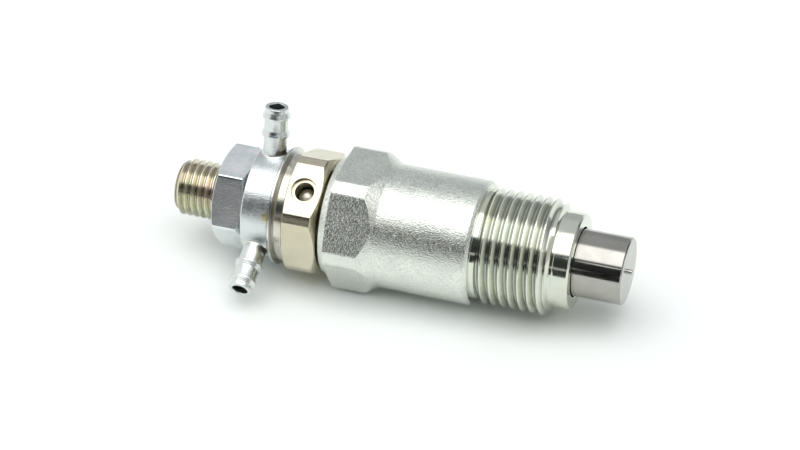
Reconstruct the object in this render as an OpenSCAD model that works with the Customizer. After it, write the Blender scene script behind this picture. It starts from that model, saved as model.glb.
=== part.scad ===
// Screw-in pintle-type fuel injector: nozzle holder, nozzle and banjo leak-off ring.
// The axis is X, +X points out of the nozzle tip, and +Z is up.
// The origin is on the axis, in the plane of the retaining nut's nose face.
// Clock angles turn about the axis: 0 faces -Y and 90 faces +Z.

/* [Retaining nut] */
// Across flats of the retaining nut's hexagon
clamp_af = 27; // [26.8:0.1:27.2]
// Diameter of the plain barrel behind the head thread
barrel_d = 26; // [25.4:0.1:26]
// Length of the hexagon along the axis, with its cone down to the barrel
clamp_hex_len = 11.8; // [11:0.1:12.5]
// Where the barrel meets its hexagon
barrel_back = -40.3; // [-41:0.1:-39.6]
// Clock angle of one flat of the hexagon
clamp_clock = 30; // [0:1:60]

/* [Head thread] */
// Crest diameter of the thread that screws into the cylinder head
head_thread_d = 24; // [23.9:0.05:24]
// Pitch of the head thread
head_pitch = 2; // [1.9:0.05:2]
// Number of thread ridges
head_ridges = 7; // [5:1:7]
// Diameter of the plain nose in front of the thread
nose_d = 20; // [19.4:0.1:20.4]

/* [Nozzle] */
// Diameter of the nozzle shaft that stands out of the nose
nozzle_d = 14; // [13.9:0.05:14]
// How far the shaft stands out of the nose face
nozzle_reach = 10.2; // [9.9:0.1:11]
// Diameter of the nozzle collar clamped in the retaining nut
collar_d = 17; // [16.8:0.1:17]
// Diameter of the needle guide bore
guide_d = 6; // [5.8:0.1:6]
// Diameter of the pintle at the tip of the needle
pintle_d = 1; // [0.8:0.1:1]
// How far the closed needle's pintle stands out of the tip face
pintle_reach = 0.9; // [0.4:0.05:1]
// Travel of the needle from closed to its stop
needle_lift = 0.7; // [0.4:0.1:0.8]

/* [Holder] */
// Across flats of the holder's hexagon
holder_af = 24; // [23.5:0.1:24]
// Clock angle of the holder flat with the plugged drilling
holder_clock = 55.5; // [0:0.5:60]
// Crest diameter of the thread inside the retaining nut
clamp_thread_d = 20; // [19.8:0.1:20]
// Crest diameter of the inlet thread
inlet_thread_d = 12; // [11.9:0.05:12]
// Diameter of the spigot that carries the leak-off ring
spigot_d = 12.6; // [12.4:0.1:12.6]
// Diameter of the spring chamber
chamber_d = 8.5; // [8.4:0.1:8.6]

/* [Leak-off ring] */
// Outer diameter of the leak-off ring
ring_d = 23; // [22.4:0.1:23.4]
// Clock angle of the upper hose barb
barb_upper_clock = 101.5; // [90:0.5:110]
// Clock angle of the lower hose barb
barb_lower_clock = -22.5; // [-30:0.5:-15]
// Distance of each barb's tip from the axis
barb_reach = 21.8; // [21:0.1:24]
// Outer diameter of the barb tubes
barb_tube_d = 4.9; // [4.7:0.1:4.9]
// Diameter over the barb ridges
barb_ridge_d = 5.8; // [5.6:0.1:6]
// Bore of the barb tubes
barb_bore_d = 3.2; // [2.8:0.1:3.4]

/* [Leak-off nut] */
// Across flats of the leak-off nut
leak_nut_af = 19; // [18.6:0.1:19]
// Clock angle of one flat of the leak-off nut
leak_nut_clock = 26.5; // [0:0.5:60]

/* [Fits] */
// Radial clearance of the ring on its spigot
swivel_clearance = 0.05; // [0.02:0.01:0.1]
// Radial clearance of the needle in its guide
guide_clearance = 0.02; // [0.01:0.01:0.04]
// Radial clearance between mating thread ridges
thread_clearance = 0.06; // [0.04:0.01:0.08]

/* [Hidden] */
$fn = 96;

cut = 1;               // how far a cutter passes the face it opens
face_gap = 0.02;       // between faces that slide or turn on each other
edge = 0.3;            // small turned chamfer

// Stations along the axis, from the nose face back to the inlet
nose_back = -3.9;
thread_back = nose_back - 2.2 - head_pitch * (head_ridges - 1) * 1.03;
barrel_front = -20.3;
clamp_back = barrel_back - clamp_hex_len;
nozzle_shoulder = -7;
nozzle_back = -28;
spacer_back = -33;
holder_hex_front = clamp_back - 0.8;
holder_hex_back = holder_hex_front - 7.3;
flange_front = holder_hex_back - 0.25;
flange_back = flange_front - 2.25;
ring_front = flange_back - 0.6;
ring_back = ring_front - 6.1;
leak_nut_front = ring_back - 0.5;
leak_nut_back = leak_nut_front - 6.6;
inlet_face = leak_nut_back - 9.9;
chamber_back = -54.6;
plug_station = (holder_hex_front + holder_hex_back) / 2 - 0.3;
barb_station = (ring_front + ring_back) / 2;
ball_reach = 7.2;       // middle of the plug ball, from the axis
ball_hole_r = 2;
ball_mouth_r = 2.62;
ball_mouth_depth = 1;

// Radii of the metric threads: crest, root and pitch line
root_drop = 0.6134;    // depth of a ridge over its pitch
inlet_pitch = 1.5;
clamp_pitch = 1.5;
inlet_root_r = inlet_thread_d / 2 - root_drop * inlet_pitch;
inlet_pitch_r = inlet_thread_d / 2 - root_drop * inlet_pitch / 2;
clamp_root_r = clamp_thread_d / 2 - root_drop * clamp_pitch;
head_root_r = head_thread_d / 2 - root_drop * head_pitch;
clamp_datum = -50.2;   // middle of the ridge nearest the holder's hexagon
clamp_ridges = 9;
clamp_thread_end = -36.6; // where the holder's inner thread runs out
relief_front = -35.5;     // front of the nut's relief, clear of that run-out

// Nozzle and needle
nose_bore_r = 7.3;
clamp_bore_r = collar_d / 2 + 0.15;
guide_r = guide_d / 2;
needle_top = nozzle_back + needle_lift + face_gap;
needle_stem_top = -30.5;
seat_start = 6.2;      // where the body's seat cone starts
seat_r = 2.4;
stem_r = 2;
orifice_r = pintle_d / 2 + 0.03;
seat_gap = 0.03;
feed_clock = holder_clock + 180;
feed_r = 6.2;          // distance of the pressure drilling from the axis
feed_hole_r = 1;

// Spring train
rod_pin_r = 2.4;
rod_stem_r = 1.4;
seat_back = -36;
seat_front = -34.5;
rod_back = -46.5;
shim_split = -53.4;
shim_front = -53;
wire_r = 0.85;
coil_r = 3.05;
dead_turns = 1;        // closed turns at each end of the spring
live_turns = 5;
dead_pitch = 2 * wire_r * 1.02;
turn_steps = 20;
wire_sides = 8;

// Outline points along one thread: each ridge has a flat crest and 60 degree flanks
function ridges(first, step, count, crest_r, root_r, pitch) = [
    for (i = [0 : count - 1])
        let (
            middle = first + i * step,
            side = step > 0 ? 1 : -1,
            crest = pitch / 16,
            foot = crest + (crest_r - root_r) * tan(30)
        )
        each [
            [middle - side * foot, root_r],
            [middle - side * crest, crest_r],
            [middle + side * crest, crest_r],
            [middle + side * foot, root_r]
        ]
];

// A solid turned about the X axis from an outline of [station, radius] points
module turned(outline) {
    rotate([0, 90, 0])
        rotate_extrude()
            polygon([for (p = outline) [p[1], p[0]]]);
}

// A plain cylinder on the X axis
module rod(from, to, r) {
    translate([from, 0, 0])
        rotate([0, 90, 0])
            cylinder(r = r, h = to - from);
}

// A hexagonal bar on the X axis with one flat at a clock angle
module hexagon(from, to, across_flats, clock) {
    rotate([-clock, 0, 0])
        translate([from, 0, 0])
            rotate([0, 90, 0])
                cylinder(r = across_flats / 2 / cos(30), h = to - from, $fn = 6);
}

// Children drawn along +Z are laid out from the axis at a station and clock angle
module radial(station, clock) {
    rotate([-clock, 0, 0])
        translate([station, 0, 0])
            rotate([90, 0, 0])
                children();
}

// A drilling parallel to the axis at the pressure feed's clock angle
module feed_drilling(from, to) {
    rotate([-feed_clock, 0, 0])
        translate([0, -feed_r, 0])
            rod(from, to, feed_hole_r);
}

// A washer on the X axis
module washer(from, to, outer_r, inner_r) {
    turned([[from, inner_r], [from, outer_r], [to, outer_r], [to, inner_r]]);
}

module retaining_nut() {
    corner_r = 14.88;
    collar_r = 12.4;
    barrel_r = barrel_d / 2;
    nose_r = nose_d / 2;
    blank_r = 11.4;
    color("gainsboro")
        difference() {
            union() {
                intersection() {
                    hexagon(clamp_back, barrel_back, clamp_af, clamp_clock);
                    turned([
                        [clamp_back, 0],
                        [clamp_back, collar_r],
                        [clamp_back + 1.5, collar_r + 0.55],
                        [clamp_back + 1.75, corner_r],
                        [barrel_back - 3, corner_r],
                        [barrel_back, barrel_r],
                        [barrel_back, 0]
                    ]);
                }
                turned(concat(
                    [
                        [barrel_back, 0],
                        [barrel_back, barrel_r],
                        [barrel_front - 0.75, barrel_r],
                        [barrel_front, barrel_r - 0.6],
                        [barrel_front, blank_r],
                        [thread_back - 0.3, blank_r],
                        [thread_back, head_root_r]
                    ],
                    ridges(nose_back - 1.4 - head_pitch * (head_ridges - 1),
                        head_pitch, head_ridges, head_thread_d / 2, head_root_r, head_pitch),
                    [
                        [nose_back, head_root_r],
                        [nose_back, nose_r],
                        [-0.4, nose_r],
                        [0, nose_r - 0.4],
                        [0, 0]
                    ]
                ));
            }
            rod(nozzle_shoulder - cut, cut, nose_bore_r);
            turned(concat(
                [
                    [nozzle_shoulder, 0],
                    [nozzle_shoulder, clamp_bore_r],
                    [relief_front, clamp_bore_r],
                    [relief_front - 0.9, clamp_root_r + thread_clearance]
                ],
                ridges(clamp_datum + clamp_pitch * (clamp_ridges - 1), -clamp_pitch, clamp_ridges,
                    clamp_thread_d / 2 + thread_clearance,
                    clamp_root_r + thread_clearance, clamp_pitch),
                [
                    [clamp_back + 0.8, clamp_root_r + thread_clearance],
                    [clamp_back - cut, clamp_thread_d / 2 + 1.5],
                    [clamp_back - cut, 0]
                ]
            ));
        }
}

module holder_body() {
    corner_r = 13.27;
    flange_r = 11.5;
    flange_bevel = 0.45;
    groove_r = 11;
    flat_r = holder_af / 2;
    neck_r = clamp_root_r - 0.1;
    mouth_r = 4.2;
    filter_bore_r = 2.5;
    filter_stop = -66;
    inlet_bore_r = 1.25;
    leak_clock = holder_clock + 90;
    color("wheat")
        difference() {
            union() {
                turned(concat(
                    [
                        [inlet_face, 0],
                        [inlet_face, inlet_root_r - 0.2],
                        [inlet_face + 0.25, inlet_root_r]
                    ],
                    ridges(inlet_face + 1.15, inlet_pitch, 6,
                        inlet_thread_d / 2, inlet_root_r, inlet_pitch),
                    [
                        [leak_nut_back - 0.4, inlet_root_r],
                        [leak_nut_back - 0.1, inlet_pitch_r],
                        [ring_back + 0.3, inlet_pitch_r],
                        [ring_back + 0.4, spigot_d / 2 - 0.2],
                        [ring_back + 0.6, spigot_d / 2],
                        [flange_back, spigot_d / 2],
                        [flange_back, flange_r - flange_bevel],
                        [flange_back + 0.75, flange_r],
                        [flange_front, flange_r],
                        [flange_front, groove_r],
                        [plug_station, groove_r],
                        [plug_station, 0]
                    ]
                ));
                intersection() {
                    hexagon(holder_hex_back, holder_hex_front, holder_af, holder_clock);
                    turned([
                        [holder_hex_back, 0],
                        [holder_hex_back, flat_r + 0.2],
                        [holder_hex_back + 0.4, corner_r],
                        [holder_hex_front - 1.1, corner_r],
                        [holder_hex_front, flat_r - 0.3],
                        [holder_hex_front, 0]
                    ]);
                }
                turned(concat(
                    [
                        [plug_station, 0],
                        [plug_station, neck_r],
                        [clamp_datum - 1, neck_r],
                        [clamp_datum - 0.9, clamp_root_r]
                    ],
                    ridges(clamp_datum, clamp_pitch, clamp_ridges,
                        clamp_thread_d / 2, clamp_root_r, clamp_pitch),
                    [
                        [clamp_thread_end, clamp_root_r],
                        [clamp_thread_end + 0.8, collar_d / 2],
                        [spacer_back - edge, collar_d / 2],
                        [spacer_back, collar_d / 2 - edge],
                        [spacer_back, 0]
                    ]
                ));
            }
            // inlet cone, filter bore and centre drilling
            turned([
                [inlet_face - cut, 0],
                [inlet_face - cut, mouth_r + cut * tan(30)],
                [inlet_face + (mouth_r - filter_bore_r) / tan(30), filter_bore_r],
                [filter_stop, filter_bore_r],
                [filter_stop + 0.7, inlet_bore_r],
                [plug_station, inlet_bore_r],
                [plug_station + 0.6, 0]
            ]);
            rod(chamber_back, spacer_back + cut, chamber_d / 2);
            feed_drilling(plug_station, spacer_back + cut);
            // cross drilling from the flat through the centre to the feed drilling
            radial(plug_station, holder_clock)
                translate([0, 0, -feed_r - feed_hole_r])
                    cylinder(r = feed_hole_r, h = flat_r + feed_r);
            radial(plug_station, holder_clock)
                translate([0, 0, ball_reach - ball_hole_r])
                    cylinder(r = ball_hole_r, h = flat_r);
            radial(plug_station, holder_clock)
                translate([0, 0, flat_r - ball_mouth_depth])
                    cylinder(r = ball_mouth_r, h = flat_r);
            // leak-off drilling from the chamber's end out to the ring's groove
            rotate([-leak_clock, 0, 0])
                translate([chamber_back + 0.6, -1.5, 0])
                    rotate([0, -90, 21])
                        cylinder(r = 0.75, h = 16);
        }
}

module bar_filter() {
    from = -82.6;
    to = -66.6;
    filter_r = 2.48;
    slots = 6;
    color("silver")
        difference() {
            turned([
                [from, 0],
                [from, filter_r - edge],
                [from + edge, filter_r],
                [to - edge, filter_r],
                [to, filter_r - edge],
                [to, 0]
            ]);
            // slots open in turn at one end and then at the other
            for (i = [0 : slots - 1])
                rotate([i * 360 / slots, 0, 0])
                    translate([i % 2 == 0 ? from - cut : from + 2, -0.25, filter_r - 0.5])
                        cube([to - from - 2 + cut, 0.5, 1]);
        }
}

module ball_plug() {
    color("dimgray")
        radial(plug_station, holder_clock)
            translate([0, 0, ball_reach])
                sphere(r = ball_hole_r - 0.01);
}

module leak_off_nut() {
    corner_r = 10.9;
    mouth_r = inlet_thread_d / 2 + 0.2;
    bore_r = inlet_pitch_r + 0.02;
    color("slategray")
        difference() {
            intersection() {
                hexagon(leak_nut_back, leak_nut_front, leak_nut_af, leak_nut_clock);
                turned([
                    [leak_nut_back, 0],
                    [leak_nut_back, 9.2],
                    [leak_nut_back + 0.75, corner_r],
                    [leak_nut_front - 0.6, corner_r],
                    [leak_nut_front, 9.5],
                    [leak_nut_front, 0]
                ]);
            }
            turned([
                [leak_nut_back - cut, 0],
                [leak_nut_back - cut, mouth_r + cut],
                [leak_nut_back + mouth_r - bore_r, bore_r],
                [leak_nut_front - mouth_r + bore_r, bore_r],
                [leak_nut_front + cut, mouth_r + cut],
                [leak_nut_front + cut, 0]
            ]);
        }
}

module leak_off_upper_gasket() {
    color("darkgray")
        washer(leak_nut_front, ring_back, 8.8, spigot_d / 2 + 0.1);
}

module leak_off_lower_gasket() {
    color("gray")
        washer(ring_front, flange_back, 12.4, spigot_d / 2 + 0.1);
}

module leak_off_ring() {
    groove_r = 8.2;
    bore_r = spigot_d / 2 + swivel_clearance;
    from = ring_back + face_gap;
    to = ring_front - face_gap;
    color("lightgray")
        difference() {
            turned([
                [from, bore_r],
                [from, ring_d / 2 - edge],
                [from + edge, ring_d / 2],
                [to - edge, ring_d / 2],
                [to, ring_d / 2 - edge],
                [to, bore_r],
                [barb_station + 1.5, bore_r],
                [barb_station + 1.5, groove_r],
                [barb_station - 1.5, groove_r],
                [barb_station - 1.5, bore_r]
            ]);
            for (clock = [barb_upper_clock, barb_lower_clock])
                radial(barb_station, clock)
                    cylinder(r = barb_tube_d / 2 + 0.01, h = ring_d);
        }
}

// A hose barb: a bored tube with two ridges that ramp up from the tip
module hose_barb(clock) {
    tube_r = barb_tube_d / 2;
    ridge_r = barb_ridge_d / 2;
    inner = 8.6;
    color("silver")
        radial(barb_station, clock)
            rotate_extrude()
                polygon(concat(
                    [[barb_bore_d / 2, inner], [tube_r, inner]],
                    [
                        for (ridge = [6.4, 2.4])
                            each [
                                [tube_r, barb_reach - ridge],
                                [ridge_r, barb_reach - ridge + 0.2],
                                [ridge_r, barb_reach - ridge + 0.5],
                                [tube_r, barb_reach - ridge + 1.5]
                            ]
                    ],
                    [
                        [tube_r, barb_reach - 0.4],
                        [tube_r - 0.25, barb_reach],
                        [barb_bore_d / 2 + 0.15, barb_reach],
                        [barb_bore_d / 2, barb_reach - 0.2]
                    ]
                ));
}

// The fillet of braze metal where a barb enters the ring
module braze_fillet(clock) {
    tube_r = barb_tube_d / 2 + 0.01;
    buried = 0.6;
    rise = 0.6;
    color("darkgray")
        difference() {
            radial(barb_station, clock)
                rotate_extrude()
                    polygon([
                        [tube_r, ring_d / 2 - buried],
                        [tube_r + 0.8, ring_d / 2 - buried],
                        [tube_r, ring_d / 2 + rise]
                    ]);
            rod(ring_back - cut, ring_front + cut, ring_d / 2 + 0.01);
        }
}

module hose_barb_upper() {
    hose_barb(barb_upper_clock);
}

module hose_barb_lower() {
    hose_barb(barb_lower_clock);
}

module braze_fillet_upper() {
    braze_fillet(barb_upper_clock);
}

module braze_fillet_lower() {
    braze_fillet(barb_lower_clock);
}

module distance_piece() {
    groove_in = feed_r - feed_hole_r - 0.2;
    groove_out = feed_r + feed_hole_r + 0.2;
    groove_floor = nozzle_back - 0.5;
    color("gray")
        difference() {
            turned([
                [spacer_back, rod_pin_r + 0.1],
                [spacer_back, collar_d / 2 - edge],
                [spacer_back + edge, collar_d / 2],
                [nozzle_back - edge, collar_d / 2],
                [nozzle_back, collar_d / 2 - edge],
                [nozzle_back, groove_out],
                [groove_floor, groove_out],
                [groove_floor, groove_in],
                [nozzle_back, groove_in],
                [nozzle_back, rod_pin_r + 0.1]
            ]);
            feed_drilling(spacer_back - cut, nozzle_back + cut);
        }
}

module nozzle_body() {
    shaft_r = nozzle_d / 2;
    seat_end = seat_start + (seat_r - orifice_r) / tan(30);
    gallery_r = 4.2;
    feed_slope = 4.5;
    color("rosybrown")
        difference() {
            turned([
                [nozzle_back, guide_r],
                [nozzle_back, collar_d / 2 - edge],
                [nozzle_back + edge, collar_d / 2],
                [nozzle_shoulder - edge, collar_d / 2],
                [nozzle_shoulder, collar_d / 2 - edge],
                [nozzle_shoulder, shaft_r - 0.2],
                [0, shaft_r - 0.2],
                [0.1, shaft_r],
                [nozzle_reach - 0.5, shaft_r],
                [nozzle_reach, shaft_r - 0.5],
                [nozzle_reach, orifice_r],
                [seat_end, orifice_r],
                [seat_start, seat_r],
                [0, seat_r],
                [-1, gallery_r],
                [-3.4, gallery_r],
                [-4.4, guide_r]
            ]);
            // pressure feed from the back face down to the gallery
            rotate([-feed_clock, 0, 0])
                translate([nozzle_back - cut, -feed_r, 0])
                    rotate([0, 90, feed_slope])
                        cylinder(r = 0.8, h = 27);
        }
}

module needle_valve() {
    needle_r = guide_r - guide_clearance;
    cone_start = seat_start + (seat_r - seat_gap - stem_r) / tan(30);
    cone_end = seat_start + (seat_r - seat_gap - pintle_d / 2) / tan(30);
    color("lightsteelblue")
        turned([
            [needle_stem_top, 0],
            [needle_stem_top, 1.5],
            [needle_top, 1.5],
            [needle_top, needle_r],
            [-5, needle_r],
            [-3.5, stem_r],
            [cone_start, stem_r],
            [cone_end, pintle_d / 2],
            [nozzle_reach + pintle_reach - 0.1, pintle_d / 2],
            [nozzle_reach + pintle_reach, pintle_d / 2 - 0.1],
            [nozzle_reach + pintle_reach, 0]
        ]);
}

module push_rod() {
    color("slategray")
        turned([
            [needle_stem_top - face_gap, 0],
            [needle_stem_top - face_gap, rod_pin_r],
            [seat_front, rod_pin_r],
            [seat_front, rod_stem_r],
            [rod_back + edge, rod_stem_r],
            [rod_back, rod_stem_r - edge],
            [rod_back, 0]
        ]);
}

module spring_seat() {
    color("darkgray")
        washer(seat_back, seat_front, chamber_d / 2 - 0.15, rod_stem_r + 0.01);
}

// How far along the spring, from 0 to 1, the wire is after a number of turns
function advance(turn, pitch) =
    turn < dead_turns ? turn * dead_pitch
    : turn < dead_turns + live_turns
    ? dead_turns * dead_pitch + (turn - dead_turns) * pitch
    : dead_turns * dead_pitch + live_turns * pitch
        + (turn - dead_turns - live_turns) * dead_pitch;

module nozzle_spring() {
    turns = 2 * dead_turns + live_turns;
    room = seat_back - shim_front - 2 * wire_r - 2 * face_gap;
    pitch = (room - 2 * dead_turns * dead_pitch) / live_turns;
    steps = turns * turn_steps;
    points = [
        for (i = [0 : steps])
            let (turn = i / turn_steps, middle = shim_front + face_gap + wire_r + advance(turn, pitch))
            for (k = [0 : wire_sides - 1])
                let (
                    around = k * 360 / wire_sides,
                    r = coil_r + wire_r * cos(around),
                    x = middle + wire_r * sin(around)
                )
                [x, r * cos(turn * 360), r * sin(turn * 360)]
    ];
    walls = [
        for (i = [0 : steps - 1])
            for (k = [0 : wire_sides - 1])
                let (next = (k + 1) % wire_sides, a = i * wire_sides, b = a + wire_sides)
                each [[a + k, b + next, b + k], [a + k, a + next, b + next]]
    ];
    start_cap = [for (k = [0 : wire_sides - 1]) wire_sides - 1 - k];
    end_cap = [for (k = [0 : wire_sides - 1]) steps * wire_sides + k];
    color("steelblue")
        polyhedron(points = points, faces = concat(walls, [start_cap, end_cap]));
}

module adjusting_shim_thick() {
    color("silver")
        washer(chamber_back, shim_split, chamber_d / 2 - 0.15, 1.7);
}

module adjusting_shim_thin() {
    color("gainsboro")
        washer(shim_split, shim_front, chamber_d / 2 - 0.15, 1.7);
}

holder_body();
bar_filter();
ball_plug();
leak_off_nut();
leak_off_upper_gasket();
leak_off_lower_gasket();
leak_off_ring();
hose_barb_upper();
hose_barb_lower();
braze_fillet_upper();
braze_fillet_lower();
retaining_nut();
distance_piece();
nozzle_body();
needle_valve();
push_rod();
spring_seat();
nozzle_spring();
adjusting_shim_thick();
adjusting_shim_thin();
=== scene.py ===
from math import ceil, cos, floor, pi, radians, sin, sqrt, tan

import bmesh
import bpy
from mathutils import Matrix, Vector


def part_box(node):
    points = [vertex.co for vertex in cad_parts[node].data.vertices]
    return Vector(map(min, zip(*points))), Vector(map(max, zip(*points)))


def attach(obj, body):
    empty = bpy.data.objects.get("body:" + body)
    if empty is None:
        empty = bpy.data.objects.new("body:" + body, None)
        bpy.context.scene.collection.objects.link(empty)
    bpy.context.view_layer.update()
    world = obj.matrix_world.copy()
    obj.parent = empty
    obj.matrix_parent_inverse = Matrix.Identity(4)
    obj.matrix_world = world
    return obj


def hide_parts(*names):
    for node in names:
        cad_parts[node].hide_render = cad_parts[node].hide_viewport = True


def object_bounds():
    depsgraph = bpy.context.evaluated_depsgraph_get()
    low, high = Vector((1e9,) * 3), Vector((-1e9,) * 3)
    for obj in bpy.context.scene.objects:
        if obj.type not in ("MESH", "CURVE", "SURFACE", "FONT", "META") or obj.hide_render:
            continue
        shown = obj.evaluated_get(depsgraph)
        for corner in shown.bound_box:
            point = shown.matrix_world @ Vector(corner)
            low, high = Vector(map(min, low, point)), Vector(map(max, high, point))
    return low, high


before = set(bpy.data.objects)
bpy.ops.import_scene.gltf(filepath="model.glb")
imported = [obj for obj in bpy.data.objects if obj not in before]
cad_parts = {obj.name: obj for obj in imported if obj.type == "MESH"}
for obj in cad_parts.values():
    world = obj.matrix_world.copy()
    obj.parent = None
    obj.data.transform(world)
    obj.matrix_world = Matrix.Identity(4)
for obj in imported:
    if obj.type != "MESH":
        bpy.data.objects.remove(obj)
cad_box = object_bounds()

# Fuel injector lying on its side. Axis along X with the nozzle tip at +X, viewer at -Y, up is +Z.
# Lengths are in millimetres until a mesh is finished, then in metres. A clock angle turns about the
# X axis: 0 faces -Y and 90 faces +Z.
MM = 0.001
MERGE = 0.0002
SHARP_ANGLE = 40.0
CORNER_STEPS = 4
HEX_COLUMNS = 42
ROUND_COLUMNS = 240

# Clock angles that one node's box can't tell.
CLAMP_CLOCK = 30.0
HOLDER_CLOCK = 55.5
LEAK_NUT_CLOCK = 26.5
UPPER_BARB_CLOCK = 101.5
LOWER_BARB_CLOCK = -22.5
# How far the thread helices are turned on, and where a crest of the head thread faces -Y before that turn.
THREAD_CLOCK = 6.5
HEAD_CREST_STATION = -15.8278

# Across-flats halves and corner radii of the three hexagons, and how far a hose barb's end is from the axis.
CLAMP_APOTHEM = 13.5
CLAMP_CORNER = 14.84
HOLDER_APOTHEM = 12.0
HOLDER_CORNER = 13.25
NUT_APOTHEM = 9.5
NUT_CORNER = 10.88
BARB_REACH = 21.77


def span(node):
    """First and last x of a CAD node, in millimetres."""
    low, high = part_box(node)
    return low[0] / MM, high[0] / MM


INLET_FACE = span("holder_body")[0]
NUT_LEFT, NUT_RIGHT = span("leak_off_nut")
RING_LEFT, RING_RIGHT = span("leak_off_ring")
RING_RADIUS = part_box("leak_off_ring")[1][2] / MM
WASHER_RIGHT = span("leak_off_lower_gasket")[1]
CLAMP_BACK, NOSE_FACE = span("retaining_nut")
NOZZLE_BACK, TIP_FACE = span("nozzle_body")
NEEDLE_BACK, PINTLE_END = span("needle_valve")
BARB_STATION = (RING_LEFT + RING_RIGHT) / 2
PLUG_STATION = WASHER_RIGHT + 5.85
FLOOR_Z = cad_box[0][2]

# Stations along the holder, and its inlet thread.
FLANGE_LEFT = WASHER_RIGHT
GROOVE_LEFT = FLANGE_LEFT + 2.25
HOLDER_HEX_LEFT, HOLDER_HEX_RIGHT = FLANGE_LEFT + 2.5, FLANGE_LEFT + 9.8
INLET_START, INLET_END = INLET_FACE + 0.35, INLET_FACE + 9.6
INLET_ROOT, INLET_CREST, INLET_PITCH = 5.08, 6.0, 1.5

scene = bpy.context.scene


# ---------------------------------------------------------------- mesh building

def rounded(outline, steps=CORNER_STEPS):
    """A closed outline of (x, r, fillet) corners as (x, r) points, each filleted corner as a short curve."""
    points = []
    count = len(outline)
    for index, (x, r, fillet) in enumerate(outline):
        if fillet <= 0:
            points.append((x, r))
            continue
        here = Vector((x, r))
        back = Vector(outline[index - 1][:2]) - here
        ahead = Vector(outline[(index + 1) % count][:2]) - here
        if back.length < 1e-6 or ahead.length < 1e-6:
            points.extend([(x, r)] * (steps + 1))
            continue
        turn = back.angle(ahead)
        reach = fillet / max(tan(turn / 2), 0.02)
        reach = min(reach, back.length * 0.45, ahead.length * 0.45)
        first = here + back.normalized() * reach
        last = here + ahead.normalized() * reach
        for step in range(steps + 1):
            t = step / steps
            point = first * (1 - t) ** 2 + here * 2 * t * (1 - t) + last * t ** 2
            points.append((point.x, point.y))
    return points


def soft_min(a, b, width):
    """The smaller of a and b, with the change from one to the other spread over width."""
    overlap = max(width - abs(a - b), 0.0) / width
    return min(a, b) - overlap * overlap * width / 4


def hex_radius(clock, flat_clock, apothem, corner, blend):
    """Radius of a hexagon with worn corners at a clock angle."""
    off = (clock - flat_clock + 30.0) % 60.0 - 30.0
    return soft_min(apothem / cos(radians(off)), corner, blend)


def hex_clocks(flat_clock):
    """Clock angles once round, closer together near the six corners."""
    clocks = []
    for side in range(6):
        for step in range(HEX_COLUMNS):
            t = -1.0 + 2.0 * step / HEX_COLUMNS
            clocks.append(flat_clock + 60.0 * side + 30.0 * (0.72 * sin(pi * t / 2) + 0.28 * t))
    return clocks


def round_clocks(count=ROUND_COLUMNS):
    """Evenly spaced clock angles once round."""
    return [360.0 * step / count for step in range(count)]


def thread_shape(pitch, root, crest, root_fillet, crest_fillet):
    """One pitch of a 60 degree thread as (offset from the crest's middle, r) points."""
    flat = pitch / 16
    foot = flat + (crest - root) / tan(radians(60))
    corners = [(-pitch / 2, root, 0), (-foot, root, root_fillet), (-flat, crest, crest_fillet),
               (flat, crest, crest_fillet), (foot, root, root_fillet), (pitch / 2, root, 0)]
    points = rounded(corners)
    return points[:-1]


def shape_radius(shape, pitch, offset):
    """Radius of the thread shape at any offset from a crest."""
    offset = (offset + pitch / 2) % pitch - pitch / 2
    for (x0, r0), (x1, r1) in zip(shape, shape[1:] + [(pitch / 2, shape[0][1])]):
        if x0 <= offset <= x1:
            return r0 if x1 - x0 < 1e-9 else r0 + (r1 - r0) * (offset - x0) / (x1 - x0)
    return shape[0][1]


def between(stops, x):
    """Value at x of a line through (x, value) stops."""
    if x <= stops[0][0]:
        return stops[0][1]
    for (x0, v0), (x1, v1) in zip(stops, stops[1:]):
        if x <= x1:
            return v0 + (v1 - v0) * (x - x0) / (x1 - x0)
    return stops[-1][1]


def thread_rows(clock, shape, pitch, crest_x, start, end, limit):
    """Points of a right-hand thread from start to end at a clock angle.
    limit caps the radius near the ends."""
    first = floor((start - crest_x) / pitch) - 1
    last = ceil((end - crest_x) / pitch) + 2
    points = []
    for turn in range(first, last + 1):
        base = crest_x + pitch * (turn - clock / 360.0)
        for offset, radius in shape:
            x = base + offset
            if x < start or x > end:
                x = min(max(x, start), end)
                radius = shape_radius(shape, pitch, x - base)
            points.append((x, min(radius, between(limit, x))))
    return points


def shell(name, columns, thread=None):
    """A closed mesh from one closed outline of (x, r) points per clock angle.
    thread is (first row, number of rows, rows per turn) where some rows climb a helix."""
    clocks = [clock for clock, _ in columns]
    rows = len(columns[0][1])
    verts = []
    for clock, outline in columns:
        c, s = cos(radians(clock)), sin(radians(clock))
        verts.extend((x, -r * c, r * s) for x, r in outline)

    def after_seam(row):
        """The row of column 0 that follows a row of the last column."""
        if thread and thread[0] <= row < thread[0] + thread[1]:
            return max(thread[0], row - thread[2])
        return row

    faces = []
    for index in range(len(clocks)):
        seam = index == len(clocks) - 1
        here = index * rows
        there = 0 if seam else here + rows
        for row in range(rows):
            up = (row + 1) % rows
            a, b = here + row, here + up
            c = there + (after_seam(up) if seam else up)
            d = there + (after_seam(row) if seam else row)
            faces.append((a, b, c, d))
    return solid(name, verts, faces)


def solid(name, verts, faces):
    """A clean object, in metres, from points in millimetres."""
    mesh = bpy.data.meshes.new(name)
    mesh.from_pydata(verts, [], faces)
    work = bmesh.new()
    work.from_mesh(mesh)
    bmesh.ops.remove_doubles(work, verts=work.verts, dist=MERGE)
    bmesh.ops.dissolve_degenerate(work, edges=work.edges, dist=MERGE)
    loose = [v for v in work.verts if not v.link_faces]
    bmesh.ops.delete(work, geom=loose, context="VERTS")
    bmesh.ops.recalc_face_normals(work, faces=work.faces)
    bmesh.ops.scale(work, vec=(MM, MM, MM), verts=work.verts)
    work.to_mesh(mesh)
    work.free()
    obj = bpy.data.objects.new(name, mesh)
    scene.collection.objects.link(obj)
    return obj


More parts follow.
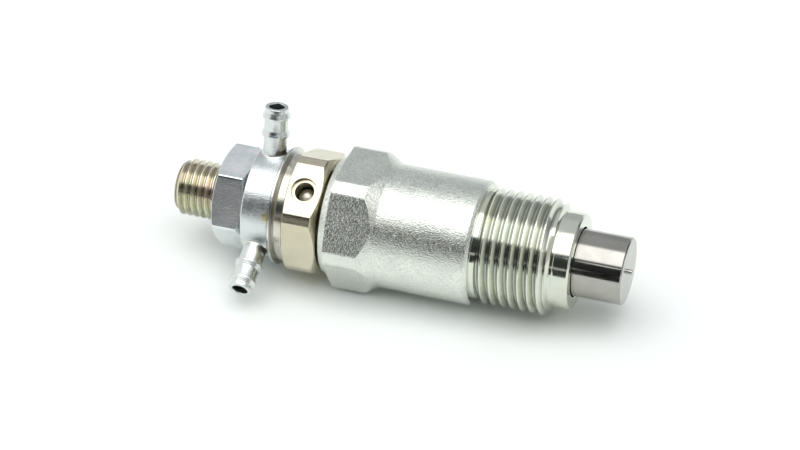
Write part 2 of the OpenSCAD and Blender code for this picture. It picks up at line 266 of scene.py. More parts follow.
def turned(name, outline, clocks=None):
    """A plain lathe part from one outline of (x, r, fillet) corners."""
    points = rounded(outline)
    return shell(name, [(clock, points) for clock in (clocks or round_clocks())])


def cut(obj, cutter):
    """Takes the cutter's shape out of obj, and removes the cutter."""
    modifier = obj.modifiers.new("cut", "BOOLEAN")
    modifier.operation = "DIFFERENCE"
    modifier.solver = "EXACT"
    modifier.object = cutter
    graph = bpy.context.evaluated_depsgraph_get()
    mesh = bpy.data.meshes.new_from_object(obj.evaluated_get(graph))
    obj.modifiers.clear()
    old = obj.data
    obj.data = mesh
    bpy.data.meshes.remove(old)
    bpy.data.objects.remove(cutter)


def finish_mesh(obj):
    """Smooth faces, true creases kept sharp, and normals that keep the flats flat."""
    work = bmesh.new()
    work.from_mesh(obj.data)
    for face in work.faces:
        face.smooth = True
    for edge in work.edges:
        edge.smooth = len(edge.link_faces) != 2 or edge.calc_face_angle(0.0) < radians(SHARP_ANGLE)
    work.to_mesh(obj.data)
    work.free()
    weighted = obj.modifiers.new("normals", "WEIGHTED_NORMAL")
    weighted.keep_sharp = True
    weighted.weight = 80


def toward(clock):
    """Unit vector away from the axis at a clock angle."""
    return Vector((0.0, -cos(radians(clock)), sin(radians(clock))))


def place_spoke(obj, clock, station):
    """Turns a part made along +X so that it points away from the axis at a clock angle."""
    out = toward(clock)
    along = Vector((1.0, 0.0, 0.0))
    side = out.cross(along)
    matrix = Matrix((out, along, side)).transposed().to_4x4()
    matrix.translation = Vector((station * MM, 0.0, 0.0))
    obj.data.transform(matrix)


# ---------------------------------------------------------------- materials

def add(tree, kind, inputs=None, **settings):
    """A shader node with its settings and inputs. An input may be a value or another node's output."""
    node = tree.nodes.new(kind)
    for key, value in settings.items():
        setattr(node, key, value)
    for key, value in (inputs or {}).items():
        if isinstance(value, bpy.types.NodeSocket):
            tree.links.new(value, node.inputs[key])
        else:
            node.inputs[key].default_value = value
    return node


def ramp(tree, factor, stops):
    """A colour ramp's output from (position, colour) stops."""
    node = add(tree, "ShaderNodeValToRGB", {"Fac": factor})
    elements = node.color_ramp.elements
    while len(elements) > 1:
        elements.remove(elements[-1])
    for index, (position, colour) in enumerate(stops):
        element = elements[0] if index == 0 else elements.new(position)
        element.position = position
        element.color = (*colour, 1.0)
    return node.outputs["Color"]


def grey(value):
    """A neutral colour."""
    return (value, value, value)


def vector_math(tree, operation, *inputs, output="Vector"):
    """The result of a vector operation."""
    node = add(tree, "ShaderNodeVectorMath", dict(enumerate(inputs)), operation=operation)
    return node.outputs[output]


def blend(tree, factor, first, second, blend_type="MIX"):
    """Two colours mixed or multiplied."""
    inputs = {0: factor, 6: first, 7: second}
    return add(tree, "ShaderNodeMix", inputs, data_type="RGBA", blend_type=blend_type).outputs[2]


def noise(tree, vector, scale, detail, roughness=0.5, distortion=0.0):
    """A noise texture's value."""
    inputs = {"Vector": vector, "Scale": scale, "Detail": detail, "Roughness": roughness,
              "Distortion": distortion}
    return add(tree, "ShaderNodeTexNoise", inputs).outputs["Fac"]


def spread(tree, value, start, end, low, high):
    """A value carried from the range start to end over to low to high, and held there."""
    inputs = {"Value": value, "From Min": start, "From Max": end, "To Min": low, "To Max": high}
    return add(tree, "ShaderNodeMapRange", inputs).outputs["Result"]


def bump(tree, height, distance, normal=None):
    """A bumped normal. distance is in millimetres."""
    inputs = {"Height": height, "Strength": 1.0, "Distance": distance * MM}
    if normal is not None:
        inputs["Normal"] = normal
    return add(tree, "ShaderNodeBump", inputs).outputs["Normal"]


def lathe_space(tree, spoke):
    """Texture coordinates that run along and across the turning marks: (along, distance from the axis, 0).
    The axis is the injector's own, or that of a hose barb where spoke is its clock angle."""
    axis, centre = Vector((1.0, 0.0, 0.0)), Vector((0.0, 0.0, 0.0))
    if spoke is not None:
        axis, centre = toward(spoke), Vector((BARB_STATION * MM, 0.0, 0.0))
    position = add(tree, "ShaderNodeTexCoord").outputs["Object"]
    arm = vector_math(tree, "SUBTRACT", position, centre)
    along = vector_math(tree, "DOT_PRODUCT", arm, axis, output="Value")
    across = vector_math(tree, "CROSS_PRODUCT", arm, axis)
    radius = vector_math(tree, "LENGTH", across, output="Value")
    return add(tree, "ShaderNodeCombineXYZ", {"X": along, "Y": radius}).outputs[0]


def tinted(tree, place, base, tint):
    """Adds a thin cloudy film. tint is (colour, share)."""
    colour, strength = tint
    film = noise(tree, place, 85.0, 3.0, distortion=0.6)
    share = ramp(tree, film, [(0.45, grey(0.0)), (0.68, grey(strength))])
    return blend(tree, share, base, (*colour, 1.0))


def pitted(tree, place, base, strength):
    """Adds fine dark pits."""
    dots = noise(tree, place, 5200.0, 1.0, 0.6)
    dark = ramp(tree, dots, [(0.36, grey(1.0 - strength)), (0.56, grey(1.0))])
    return blend(tree, 1.0, base, dark, "MULTIPLY")


def paint_thread_root_shade(tree, base, groove):
    """Paints shade into a thread's roots, darker towards the root radius. groove is (root radius, crest
    radius, brightness at the root).
    """
    root, crest, brightness = groove
    depth = add(tree, "ShaderNodeSeparateXYZ", {0: lathe_space(tree, None)}).outputs["Y"]
    rise = spread(tree, depth, root * MM, crest * MM, 0.0, 1.0)
    dark = ramp(tree, rise, [(0.0, grey(brightness)), (0.35, grey(brightness * 1.35)), (0.75, grey(1.0))])
    return blend(tree, 1.0, base, dark, "MULTIPLY")


def stained(tree, place, base, cloud, stain):
    """Adds one discoloured spot with a ragged edge. stain is ((x, r, clock), radius, colour)."""
    (x, r, clock), radius, colour = stain
    spot = Vector((x * MM, 0.0, 0.0)) + toward(clock) * r * MM
    away = vector_math(tree, "DISTANCE", place, spot, output="Value")
    ragged = add(tree, "ShaderNodeMath", {0: cloud, 1: radius * MM, 2: away}, operation="MULTIPLY_ADD")
    share = spread(tree, ragged.outputs[0], radius * MM, 1.7 * radius * MM, 0.85, 0.0)
    return blend(tree, share, base, (*colour, 1.0))


def plated(name, colour, shade, roughness, grain=None, turning=None, tint=None, specks=0.0,
           spoke=None, groove=None, stain=None):
    """A plated or bare metal.
    colour and shade are the ends of its slow colour change; roughness is (least, most).
    grain is (size in mm, height in mm) of a blasted surface, turning the same for lathe marks.
    tint, specks, groove and stain are as in the four functions above; groove paints shade into a thread's
    roots.
    spoke is the clock angle of a hose barb that carries the turning marks."""
    material = bpy.data.materials.new(name)
    material.use_nodes = True
    tree = material.node_tree
    tree.nodes.clear()
    place = add(tree, "ShaderNodeTexCoord").outputs["Object"]
    cloud = noise(tree, place, 190.0, 4.0, 0.6)
    base = ramp(tree, cloud, [(0.36, shade), (0.62, colour)])
    if tint:
        base = tinted(tree, place, base, tint)
    if specks:
        base = pitted(tree, place, base, specks)
    # painted shade: the thread roots are darkened in the base colour
    if groove:
        base = paint_thread_root_shade(tree, base, groove)
    if stain:
        base = stained(tree, place, base, cloud, stain)
    gloss = spread(tree, noise(tree, place, 420.0, 5.0, 0.62), 0.3, 0.7, *roughness)
    normal = None
    if grain:
        size, height = grain
        normal = bump(tree, noise(tree, place, 1000.0 / size, 2.0, 0.55), height)
    if turning:
        size, height = turning
        normal = bump(tree, noise(tree, lathe_space(tree, spoke), 1000.0 / size, 3.0, 0.6), height, normal)
    inputs = {"Base Color": base, "Metallic": 1.0, "Roughness": gloss}
    if normal is not None:
        inputs["Normal"] = normal
    shader = add(tree, "ShaderNodeBsdfPrincipled", inputs)
    output = add(tree, "ShaderNodeOutputMaterial", {"Surface": shader.outputs["BSDF"]})
    output.is_active_output = True
    return material


def make_materials():
    """Every finish on the injector, by short name."""
    barb_finish = {"colour": (0.76, 0.79, 0.78), "shade": (0.68, 0.72, 0.71), "roughness": (0.16, 0.28),
                   "grain": (0.22, 0.022), "turning": (0.26, 0.016), "specks": 0.12}
    return {
        "blasted": plated("blasted_zinc", (0.82, 0.85, 0.78), (0.76, 0.79, 0.74), (0.05, 0.10),
                          grain=(0.26, 0.108), specks=0.28),
        "turned": plated("turned_zinc", (0.72, 0.73, 0.64), (0.66, 0.69, 0.62), (0.08, 0.16),
                         grain=(0.5, 0.004), turning=(0.30, 0.004), tint=((0.66, 0.64, 0.47), 0.5)),
        # groove paints shade into the head thread's roots
        "thread": plated("thread_zinc", (0.76, 0.77, 0.68), (0.68, 0.71, 0.64), (0.12, 0.22),
                         turning=(0.22, 0.010), tint=((0.64, 0.66, 0.52), 0.5), groove=(10.8, 12.0, 0.60)),
        "flange": plated("flange_plate", (0.68, 0.66, 0.60), (0.60, 0.58, 0.51), (0.14, 0.24),
                         grain=(0.20, 0.014), turning=(0.25, 0.012), tint=((0.60, 0.54, 0.40), 0.3)),
        "holder": plated("holder_plate", (0.66, 0.61, 0.49), (0.60, 0.56, 0.44), (0.14, 0.24),
                         grain=(0.20, 0.014), turning=(0.25, 0.006), tint=((0.62, 0.56, 0.36), 0.35)),
        # groove paints shade into the inlet thread's roots
        "inlet": plated("inlet_plate", (0.70, 0.69, 0.52), (0.62, 0.64, 0.48), (0.14, 0.26),
                        turning=(0.25, 0.010), tint=((0.72, 0.50, 0.49), 0.6), groove=(5.1, 6.0, 0.66)),
        "nut": plated("nut_zinc", (0.99, 1.0, 1.0), (0.76, 0.82, 0.84), (0.12, 0.24),
                      grain=(0.35, 0.008), turning=(0.3, 0.004), specks=0.08),
        "ring": plated("ring_zinc", (0.73, 0.76, 0.76), (0.67, 0.71, 0.71), (0.18, 0.30),
                       grain=(0.25, 0.055), turning=(0.22, 0.008), specks=0.12,
                       stain=((-63.6, 11.5, 20.5), 1.0, (0.62, 0.48, 0.16))),
        "barb_upper": plated("barb_zinc_upper", spoke=UPPER_BARB_CLOCK, **barb_finish),
        "barb_lower": plated("barb_zinc_lower", spoke=LOWER_BARB_CLOCK, **barb_finish),
        "washer": plated("washer_metal", (0.74, 0.73, 0.70), (0.66, 0.65, 0.62), (0.20, 0.32),
                         turning=(0.2, 0.010)),
        "dark_washer": plated("dark_washer", (0.72, 0.72, 0.71), (0.62, 0.62, 0.61), (0.14, 0.26),
                              grain=(0.2, 0.02), turning=(0.18, 0.016)),
        "braze": plated("braze_zinc", (0.80, 0.82, 0.80), (0.68, 0.69, 0.64), (0.22, 0.38),
                        grain=(0.3, 0.03), specks=0.2),
        "ground": plated("ground_steel", (0.42, 0.41, 0.38), (0.37, 0.36, 0.33), (0.07, 0.15),
                         turning=(0.14, 0.005)),
        "hardened": plated("hardened_steel", (0.55, 0.54, 0.53), (0.48, 0.47, 0.46), (0.14, 0.24),
                           turning=(0.12, 0.004)),
        "spring": plated("spring_steel", (0.36, 0.38, 0.42), (0.28, 0.30, 0.34), (0.28, 0.42),
                         grain=(0.3, 0.02)),
        "ball": plated("ball_steel", (0.72, 0.68, 0.62), (0.54, 0.50, 0.44), (0.34, 0.48),
                       grain=(0.4, 0.06)),
        # painted shade: near-black finish for the holder's neck and groove and the washers' left edges,
        # where shade falls between parts
        "bore": plated("painted_shade_dark", (0.16, 0.15, 0.11), (0.08, 0.07, 0.05), (0.30, 0.45),
                       turning=(0.2, 0.010)),
        "drilled": plated("drilled_wall", (0.56, 0.55, 0.43), (0.40, 0.40, 0.30), (0.26, 0.40),
                          turning=(0.2, 0.010)),
    }


def finish_piece(obj, body, slot, materials, *nodes):
    """Gives a piece its materials and puts it in the frame."""
    for material in materials:
        obj.data.materials.append(material)
    finish_mesh(obj)
    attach(obj, body)
    if nodes:
        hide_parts(*nodes)


# ---------------------------------------------------------------- parts

def retaining_nut(mats):
    """Hexagon, plain barrel, head thread and nose, in one solid."""
    barrel, relief, nose = 13.0, 11.4, 10.0
    crest, root, pitch = 12.0, 10.77, 2.0
    nozzle_bore, collar_bore, thread_bore = 7.3, 8.75, 9.15
    collar_end = CLAMP_BACK + 1.45
    cone_top, cone_foot = CLAMP_BACK + 8.8, CLAMP_BACK + 11.8
    barrel_end = CLAMP_BACK + 31.8
    shoulder, bore_step = NOSE_FACE - 6.9, NOSE_FACE - 36.0
    thread_start, thread_end = barrel_end + 1.1, NOSE_FACE - 4.0
    shape = thread_shape(pitch, root, crest, 0.16, 0.05)
    limit = [(thread_start, 11.5), (thread_start + 1.1, crest), (thread_end - 1.0, crest),
             (thread_end, nose + 0.02)]
    front_slope = (CLAMP_CORNER + 0.04 - barrel) / (cone_foot - cone_top)
    bore = [(NOSE_FACE, nozzle_bore, 0.18), (shoulder, nozzle_bore, 0), (shoulder, collar_bore, 0),
            (bore_step, collar_bore, 0), (bore_step, thread_bore, 0), (CLAMP_BACK, thread_bore, 0.3)]
    columns = []
    for clock in hex_clocks(CLAMP_CLOCK - 60.0):
        radius = hex_radius(clock, CLAMP_CLOCK, CLAMP_APOTHEM, CLAMP_CORNER, 0.06)
        left = collar_end + 0.06 + (radius - 12.95) * 0.12
        right = cone_foot - max(radius - barrel, 0.0) / front_slope
        head = rounded([(NOSE_FACE, 8.6, 0)] + bore + [
            (CLAMP_BACK, 12.4, 0.12), (collar_end - 0.05, 12.90, 0.05), (collar_end, 12.82, 0.03),
            (left, radius, 0.14), (right, radius, 0.22), (cone_foot, barrel, 0.2),
            (barrel_end - 0.75, barrel, 0.25), (barrel_end, 12.4, 0.15), (barrel_end, 11.5, 0.08),
            (barrel_end + 0.10, relief, 0.05), (thread_start - 0.01, relief, 0)])
        middle = thread_rows(clock + 360.0 - THREAD_CLOCK, shape, pitch, HEAD_CREST_STATION,
                             thread_start, thread_end, limit)
        tail = rounded([(thread_end + 0.10, nose, 0.1), (NOSE_FACE - 0.42, nose, 0.12),
                        (NOSE_FACE, 9.6, 0.12), (NOSE_FACE, 9.0, 0)])
        columns.append((clock, head + middle + tail))
    obj = shell("retaining_nut", columns, thread=(len(head), len(middle), len(shape)))
    blasted, lathed, threaded = range(3)
    for polygon in obj.data.polygons:
        x = polygon.center.x / MM
        if x < barrel_end - 0.05:
            polygon.material_index = blasted
        elif x < thread_start or x > thread_end - 0.9:
            polygon.material_index = lathed
        else:
            polygon.material_index = threaded
    finish_piece(obj, "injector", "blasted_zinc", [mats[name] for name in ("blasted", "turned", "thread")],
                 "retaining_nut")


def holder_outline(clock, shape):
    """The holder's outline at a clock angle, as its mouth, its inlet thread and the rest."""
    bore, stud, spigot, flange, groove, barrel, inner = 2.5, 5.4, 6.3, 11.5, 11.0, 11.7, 8.98
    hex_face = 12.2
    spigot_left, inner_end = RING_LEFT + 0.5, HOLDER_HEX_RIGHT + 14.0
    limit = [(INLET_START, 5.0), (INLET_START + 0.9, INLET_CREST), (INLET_END - 0.8, INLET_CREST),
             (INLET_END, 5.1)]
    radius = hex_radius(clock, HOLDER_CLOCK, HOLDER_APOTHEM, HOLDER_CORNER, 0.10)
    right = HOLDER_HEX_RIGHT - 1.1 * max(radius - barrel, 0.0) / (HOLDER_CORNER + 0.02 - barrel)
    left = HOLDER_HEX_LEFT + max(radius - hex_face, 0.0) * 0.37
    mouth = rounded([(HOLDER_HEX_LEFT, bore, 0), (INLET_FACE + 2.94, bore, 0.2), (INLET_FACE, 4.2, 0.12),
                     (INLET_FACE, 4.9, 0.12), (INLET_START - 0.01, INLET_ROOT, 0)])
    middle = thread_rows(clock + 360.0 - THREAD_CLOCK, shape, INLET_PITCH, INLET_FACE + 1.15,
                         INLET_START, INLET_END, limit)
    rest = rounded([
        (INLET_END + 0.1, stud, 0), (spigot_left, stud, 0), (spigot_left, spigot, 0),
        (FLANGE_LEFT, spigot, 0), (FLANGE_LEFT, 11.05, 0.08), (FLANGE_LEFT + 0.75, flange, 0.14),
        (GROOVE_LEFT, flange, 0.08), (GROOVE_LEFT, groove, 0.05), (HOLDER_HEX_LEFT, groove, 0.05),
        (HOLDER_HEX_LEFT, min(radius, hex_face) - 0.02, 0.08), (left + 0.02, radius, 0.10),
        (right, radius, 0.14), (HOLDER_HEX_RIGHT, barrel, 0.14), (HOLDER_HEX_RIGHT, inner, 0.15),
        (inner_end, inner, 0), (inner_end, bore, 0)])
    return mouth, middle, rest


def holder_finish(centre):
    """Which of the holder's materials a face gets, from the face's middle."""
    plain, inlet, shadowed, flange, drilled = range(5)
    arm = centre - Vector((PLUG_STATION * MM, 0.0, 0.0))
    out = toward(HOLDER_CLOCK)
    x, r = centre.x / MM, centre.yz.length / MM
    height, off_centre = arm.dot(out) / MM, arm.cross(out).length / MM
    if 3.0 < height < 10.98 and off_centre < 2.1:
        return drilled
    # painted shade: the neck by the retaining nut and the groove by the flange take the near-black bore
    # finish
    if x > HOLDER_HEX_RIGHT - 0.05 and r < 9.6 or GROOVE_LEFT + 0.02 < x < HOLDER_HEX_LEFT and r < 11.1:
        return shadowed
    if x < INLET_FACE + 9.8:
        return inlet
    return flange if x < GROOVE_LEFT else plain


def holder(mats):
    """Inlet stud, spigot, flange, groove, hexagon with its plugged hole, and neck."""
    shape = thread_shape(INLET_PITCH, INLET_ROOT, INLET_CREST, 0.12, 0.04)
    columns = []
    for clock in hex_clocks(HOLDER_CLOCK - 60.0):
        mouth, middle, rest = holder_outline(clock, shape)
        columns.append((clock, mouth + middle + rest))
    obj = shell("holder_body", columns, thread=(len(mouth), len(middle), len(shape)))
    bottom, drill, seat, counterbore, chamfer = 5.2, 2.0, 11.0, 2.62, 2.76
    hole = turned("hole", [(bottom, 0.0, 0), (bottom, drill, 0.3), (seat, drill, 0.08),
                           (seat, counterbore, 0.10), (11.92, counterbore, 0.05), (12.06, chamfer, 0),
                           (12.8, chamfer, 0), (12.8, 0.0, 0)], round_clocks(72))
    place_spoke(hole, HOLDER_CLOCK, PLUG_STATION)
    cut(obj, hole)
    for polygon in obj.data.polygons:
        polygon.material_index = holder_finish(polygon.center)
    # the finish under the key bore is painted shade for the neck and groove
    finish_piece(obj, "injector", "holder_plate",
                 [mats[name] for name in ("holder", "inlet", "bore", "flange", "drilled")], "holder_body")


def plug(mats):
    """The ball pressed into the cross hole, peened flat on top."""
    radius, centre = 1.985, 7.2
    outline = [(centre + radius * cos(radians(a)), radius * sin(radians(a)), 0) for a in range(0, 181, 6)]
    flat = centre + radius * 0.985
    outline = [(min(x, flat), max(r, 0.0), 0) for x, r, _ in outline]
    obj = turned("ball_plug", outline, round_clocks(64))
    place_spoke(obj, HOLDER_CLOCK, PLUG_STATION)
    finish_piece(obj, "injector", "hardened_steel", [mats["ball"]], "ball_plug")


def leak_nut(mats):
    """Thin hexagon nut that clamps the banjo ring."""
    bore, left_face, right_face, corner = 5.55, 9.2, 9.5, 10.9
    columns = []
    for clock in hex_clocks(LEAK_NUT_CLOCK - 60.0):
        radius = hex_radius(clock, LEAK_NUT_CLOCK, NUT_APOTHEM, NUT_CORNER, 0.12)
        left = NUT_LEFT + 0.75 * max(radius - left_face, 0.0) / (corner - left_face)
        right = NUT_RIGHT - 0.6 * max(radius - right_face, 0.0) / (corner - right_face)
        columns.append((clock, rounded([
            (NUT_RIGHT, bore, 0.1), (NUT_LEFT + 0.5, bore, 0.1), (NUT_LEFT, 6.1, 0.1),
            (NUT_LEFT, min(left_face, radius), 0.12), (left, radius, 0.14), (right, radius, 0.12),
            (NUT_RIGHT, min(right_face - 0.05, radius), 0.10)])))
    obj = shell("leak_off_nut", columns)
    finish_piece(obj, "injector", "nut_zinc", [mats["nut"]], "leak_off_nut")


def banjo_ring(mats):
    """Ring with an inner groove and a hole for each tube."""
    bore, groove, hole = 6.35, 8.2, 2.47
    inside, outside = 5.0, 14.0
    groove_left, groove_right = BARB_STATION - 1.6, BARB_STATION + 1.6
    ring = turned("leak_off_ring", [
        (RING_RIGHT, bore, 0.15), (groove_right, bore, 0.05), (groove_right, groove, 0.3),
        (groove_left, groove, 0.3), (groove_left, bore, 0.05), (RING_LEFT, bore, 0.15),
        (RING_LEFT, RING_RADIUS, 0.32), (RING_RIGHT, RING_RADIUS, 0.28)])
    for clock in (UPPER_BARB_CLOCK, LOWER_BARB_CLOCK):
        drill = turned("drill", [(inside, 0.0, 0), (inside, hole, 0), (outside, hole, 0), (outside, 0.0, 0)],
                       round_clocks(72))
        place_spoke(drill, clock, BARB_STATION)
        cut(ring, drill)
    finish_piece(ring, "leak_off", "ring_zinc", [mats["ring"]], "leak_off_ring")


def barb(mats, name, clock):
    """Tube with two barb ridges, made along +X from the injector's axis."""
    tube, ridge, bore = 2.45, 2.9, 1.6
    outline = [(8.6, bore, 0.05), (8.6, tube, 0.1)]
    for back in (BARB_REACH - 6.4, BARB_REACH - 2.4):
        outline += [(back, tube, 0.05), (back + 0.10, ridge, 0.12), (back + 0.55, ridge, 0.28),
                    (back + 1.50, tube, 0.4)]
    outline += [(BARB_REACH, tube - 0.03, 0.22), (BARB_REACH, bore + 0.08, 0.06),
                (BARB_REACH - 0.2, bore, 0.1)]
    obj = turned(name, outline, round_clocks(96))
    place_spoke(obj, clock, BARB_STATION)
    finish = "barb_upper" if name == "hose_barb_upper" else "barb_lower"
    finish_piece(obj, "leak_off", "barb_zinc", [mats[finish]], name)


def braze(mats, name, clock):
    """Saddle of braze metal where a tube meets the ring."""
    tube, foot, height, overlap, sunk = 2.44, 0.40, 0.55, 0.05, 0.25
    around, across = 96, 10
    verts, faces = [], []
    for step in range(around):
        turn = 2 * pi * step / around
        wobble = 1.0 + 0.10 * sin(3 * turn + 0.7) + 0.06 * sin(5 * turn + 2.0)
        ring = []
        for row in range(across + 1):
            t = row / across * pi / 2
            rho = tube + foot * wobble * (1 - sin(t))
            lift = height * wobble * (1 - cos(t))
            ring.append((rho, lift))
        ring.append((tube - overlap, ring[-1][1] - overlap))
        ring.append((tube - overlap, -sunk))
        ring.append((ring[0][0], -sunk))
        for rho, lift in ring:
            side = rho * sin(turn)
            surface = sqrt(RING_RADIUS ** 2 - side ** 2)
            verts.append((surface + lift - 0.01, rho * cos(turn), side))
    rows = across + 4
    for step in range(around):
        for row in range(rows):
            a = step * rows + row
            b = step * rows + (row + 1) % rows
            following = (step + 1) % around * rows
            faces.append((a, b, following + (row + 1) % rows, following + row))
    obj = solid(name, verts, faces)
    place_spoke(obj, clock, BARB_STATION)
    finish_piece(obj, "leak_off", "braze", [mats["braze"]], name)


def gasket(mats, name, inner, outer, slot, finish):
    """Flat sealing washer with a dark left edge, painted shade for the gap at that side."""
    left, right = span(name)
    obj = turned(name, [(right, inner, 0.05), (left, inner, 0.05), (left, outer - 0.12, 0.03),
                        (left + 0.16, outer, 0.05), (right, outer, 0.10)])
    for polygon in obj.data.polygons:
        # painted shade: faces at the left face take the near-black bore finish
        polygon.material_index = 1 if polygon.center.x < (left + 0.13) * MM else 0
    finish_piece(obj, "injector", slot, [mats[finish], mats["bore"]], name)


def nozzle(mats):
    """Nozzle body: collar, relieved neck, ground shaft and orifice."""
    orifice, needle_bore, collar, neck, shaft, chamfer = 0.54, 3.0, 8.5, 6.75, 7.0, 0.28
    shoulder, seat = NOSE_FACE - 7.0, TIP_FACE - 3.0
    obj = turned("nozzle_body", [
        (TIP_FACE, orifice, 0.03), (seat, orifice, 0), (seat, needle_bore, 0), (NOZZLE_BACK, needle_bore, 0),
        (NOZZLE_BACK, collar, 0.2), (shoulder, collar, 0.2), (shoulder, neck, 0),
        (NOSE_FACE - 0.2, neck, 0.05), (NOSE_FACE + 0.05, shaft, 0.1), (TIP_FACE - chamfer, shaft, 0.10),
        (TIP_FACE, shaft - chamfer, 0.06)])
    finish_piece(obj, "injector", "ground_steel", [mats["ground"]], "nozzle_body")


def needle(mats):
    """Needle with its pintle."""
    guide, pintle, chamfer = 2.9, 0.50, 0.09
    obj = turned("needle_valve", [
        (NEEDLE_BACK, 0.0, 0), (NEEDLE_BACK, guide, 0.15), (TIP_FACE - 4.5, guide, 0.1),
        (TIP_FACE - 3.6, pintle, 0.05), (PINTLE_END - chamfer, pintle, 0.03), (PINTLE_END, 0.40, 0.03),
        (PINTLE_END, 0.0, 0)], round_clocks(64))
    finish_piece(obj, "needle", "hardened_steel", [mats["hardened"]], "needle_valve")


def cad_finishes(mats):
    """Materials for the CAD nodes that keep their own mesh."""
    for node, finish in {
        "bar_filter": "hardened", "distance_piece": "hardened", "push_rod": "hardened",
        "spring_seat": "ground", "adjusting_shim_thick": "ground", "adjusting_shim_thin": "ground",
        "nozzle_spring": "spring",
    }.items():
        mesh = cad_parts[node].data
        mesh.materials.clear()
        mesh.materials.append(mats[finish])


# ---------------------------------------------------------------- studio

def studio_world():
    """Soft studio surroundings: a band of light over the front, a dark front with one thin bright line,
    mid grey behind, a bright left end and a dark right end that grows lighter with height.
    The stops go round the X axis in degrees: 0 faces -Y and 90 faces +Z."""
    world = bpy.data.worlds.new("studio")
    scene.world = world
    world.use_nodes = True
    tree = world.node_tree
    tree.nodes.clear()
    direction = add(tree, "ShaderNodeTexCoord").outputs["Generated"]
    parts = add(tree, "ShaderNodeSeparateXYZ", {0: direction})
    front = add(tree, "ShaderNodeMath", {0: parts.outputs["Y"], 1: -1.0}, operation="MULTIPLY")
    angle = add(tree, "ShaderNodeMath", {0: parts.outputs["Z"], 1: front.outputs[0]}, operation="ARCTAN2")
    turn = spread(tree, angle.outputs[0], -pi, pi, 0.0, 1.0)
    stops = [(-180, grey(0.9)), (-8, grey(0.9)), (-5, grey(0.05)), (9.5, grey(0.03)), (11.5, grey(0.7)),
             (13.3, grey(0.7)), (15.3, grey(0.03)), (40.5, (0.04, 0.05, 0.05)), (45.5, (0.07, 0.09, 0.09)),
             (50.5, grey(2.3)), (94.5, grey(2.6)), (103.5, (0.64, 0.66, 0.68)), (142, (0.61, 0.63, 0.65)),
             (153, (0.51, 0.53, 0.55)), (180, (0.49, 0.51, 0.53))]
    middle = ramp(tree, turn, [((degrees + 180) / 360, colour) for degrees, colour in stops])
    right_end = ramp(tree, parts.outputs["Z"], [(0.0, grey(0.30)), (0.10, grey(0.12)), (0.28, grey(0.12)),
                                                (0.42, grey(0.5)), (0.75, grey(0.9))])
    right_share = ramp(tree, parts.outputs["X"], [(0.50, grey(0.0)), (0.66, grey(1.0))])
    far_share = ramp(tree, parts.outputs["X"], [(0.84, grey(0.0)), (0.94, grey(1.0))])
    right_end = blend(tree, far_share, right_end, (0.62, 0.63, 0.62, 1.0))
    left = add(tree, "ShaderNodeMath", {0: parts.outputs["X"], 1: -1.0}, operation="MULTIPLY")
    left_share = ramp(tree, left.outputs[0], [(0.48, grey(0.0)), (0.66, grey(1.0))])
    with_right = blend(tree, right_share, middle, right_end)
    around = blend(tree, left_share, with_right, (1.0, 1.0, 0.98, 1.0))
    background = add(tree, "ShaderNodeBackground", {"Color": around, "Strength": 1.0})
    plain = add(tree, "ShaderNodeBackground", {"Color": (1.0, 1.0, 1.0, 1.0), "Strength": 1.0})
    seen = add(tree, "ShaderNodeLightPath").outputs["Is Camera Ray"]
    mix = add(tree, "ShaderNodeMixShader", {0: seen, 1: background.outputs[0], 2: plain.outputs[0]})
    add(tree, "ShaderNodeOutputWorld", {"Surface": mix.outputs[0]})


def card(name, corners, colour, glow=0.0):
    """A flat matt sheet from its corners in metres. One that glows also lights reflections."""
    mesh = bpy.data.meshes.new(name)
    mesh.from_pydata(corners, [], [tuple(range(len(corners)))])
    obj = bpy.data.objects.new(name, mesh)
    scene.collection.objects.link(obj)
    material = bpy.data.materials.new(name)
    material.use_nodes = True
    shader = material.node_tree.nodes["Principled BSDF"]
    shader.inputs["Base Color"].default_value = (*colour, 1.0)
    shader.inputs["Roughness"].default_value = 0.9
    shader.inputs["Specular IOR Level"].default_value = 0.0
    shader.inputs["Emission Color"].default_value = (1.0, 1.0, 1.0, 1.0)
    shader.inputs["Emission Strength"].default_value = glow
    mesh.materials.append(material)
    return obj


def level(height, outline):
    """Corners of a level sheet."""
    return [(x, y, height) for x, y in outline]


def only_reflections(obj):
    """Hides a card from everything but mirror reflections."""
    obj.visible_camera = False
    obj.visible_diffuse = False
    obj.visible_shadow = False
    obj.visible_transmission = False
    obj.visible_volume_scatter = False


def nozzle_card(name, low, high, colour, glow=0.0):
    """A card that only the nozzle's reflections meet, between two clock angles of the reflected ray.
    It lies further left than the nozzle because the viewer is on the right."""
    reach, left, spare = 0.100, -0.0172, 0.003
    right = left + TIP_FACE * MM + spare
    near, far = toward(low) * reach, toward(high) * reach
    corners = [(left, near.y, near.z), (right, near.y, near.z), (right, far.y, far.z), (left, far.y, far.z)]
    only_reflections(card(name, corners, colour, glow))


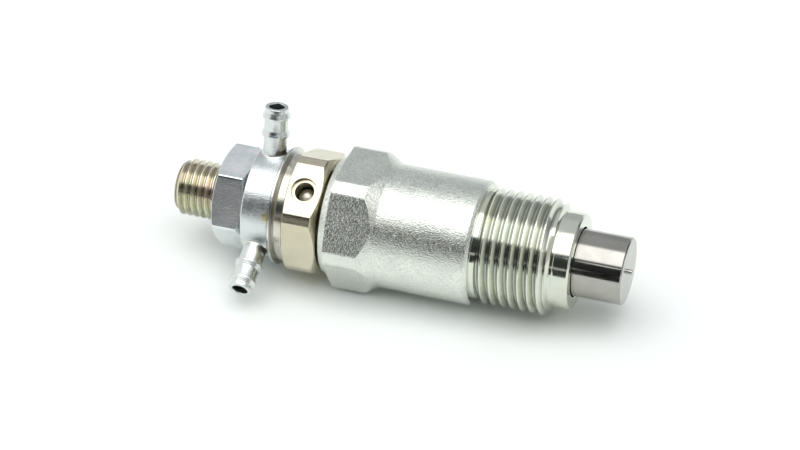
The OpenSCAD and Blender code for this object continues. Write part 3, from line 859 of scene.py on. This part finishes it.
def studio_floor():
    """Plain pale floor, with a black flag far in front and two nozzle cards that only reflections see."""
    half = 3.0
    square = [(-half, -half), (half, -half), (half, half), (-half, half)]
    card("floor", level(FLOOR_Z, square), (0.935, 0.97, 0.955))
    outline = [(-0.052, -0.155), (-0.76, -2.9), (2.0, -2.9), (2.0, -0.155)]
    only_reflections(card("flag_front", level(FLOOR_Z + 0.0005, outline), grey(0.02)))
    nozzle_card("flag_nozzle", 7.5, 17.5, grey(0.02))
    nozzle_card("strip_nozzle", 38.2, 41.0, grey(0.02), glow=1.7)


def studio_camera():
    """Long lens from the front right, above."""
    azimuth, elevation, roll = radians(18.124), radians(36.401), radians(0.015)
    aim = Vector((-37.5, 0.0, 0.0)) * MM
    distance = 618.0 * MM
    shift_right, shift_up = 0.001333, -0.000967
    right = Vector((cos(azimuth), sin(azimuth), 0.0))
    up = Vector((-sin(azimuth) * sin(elevation), cos(azimuth) * sin(elevation), cos(elevation)))
    back = Vector((sin(azimuth) * cos(elevation), -cos(azimuth) * cos(elevation), sin(elevation)))
    right, up = right * cos(roll) + up * sin(roll), up * cos(roll) - right * sin(roll)
    data = bpy.data.cameras.new("camera")
    data.sensor_width = 36.0
    data.lens = 135.0
    data.clip_start, data.clip_end = 0.05, 20.0
    camera = bpy.data.objects.new("camera", data)
    scene.collection.objects.link(camera)
    matrix = Matrix((right, up, back)).transposed().to_4x4()
    matrix.translation = aim + back * distance - right * distance * shift_right - up * distance * shift_up
    camera.matrix_world = matrix
    scene.camera = camera


studio_camera()
studio_world()
studio_floor()
finishes = make_materials()
retaining_nut(finishes)
holder(finishes)
plug(finishes)
leak_nut(finishes)
banjo_ring(finishes)
barb(finishes, "hose_barb_upper", UPPER_BARB_CLOCK)
barb(finishes, "hose_barb_lower", LOWER_BARB_CLOCK)
braze(finishes, "braze_fillet_upper", UPPER_BARB_CLOCK)
braze(finishes, "braze_fillet_lower", LOWER_BARB_CLOCK)
gasket(finishes, "leak_off_upper_gasket", 6.4, 8.8, "gasket", "washer")
gasket(finishes, "leak_off_lower_gasket", 6.4, 12.4, "dark_gasket", "dark_washer")
nozzle(finishes)
needle(finishes)
cad_finishes(finishes)
scene.view_settings.view_transform = "Standard"
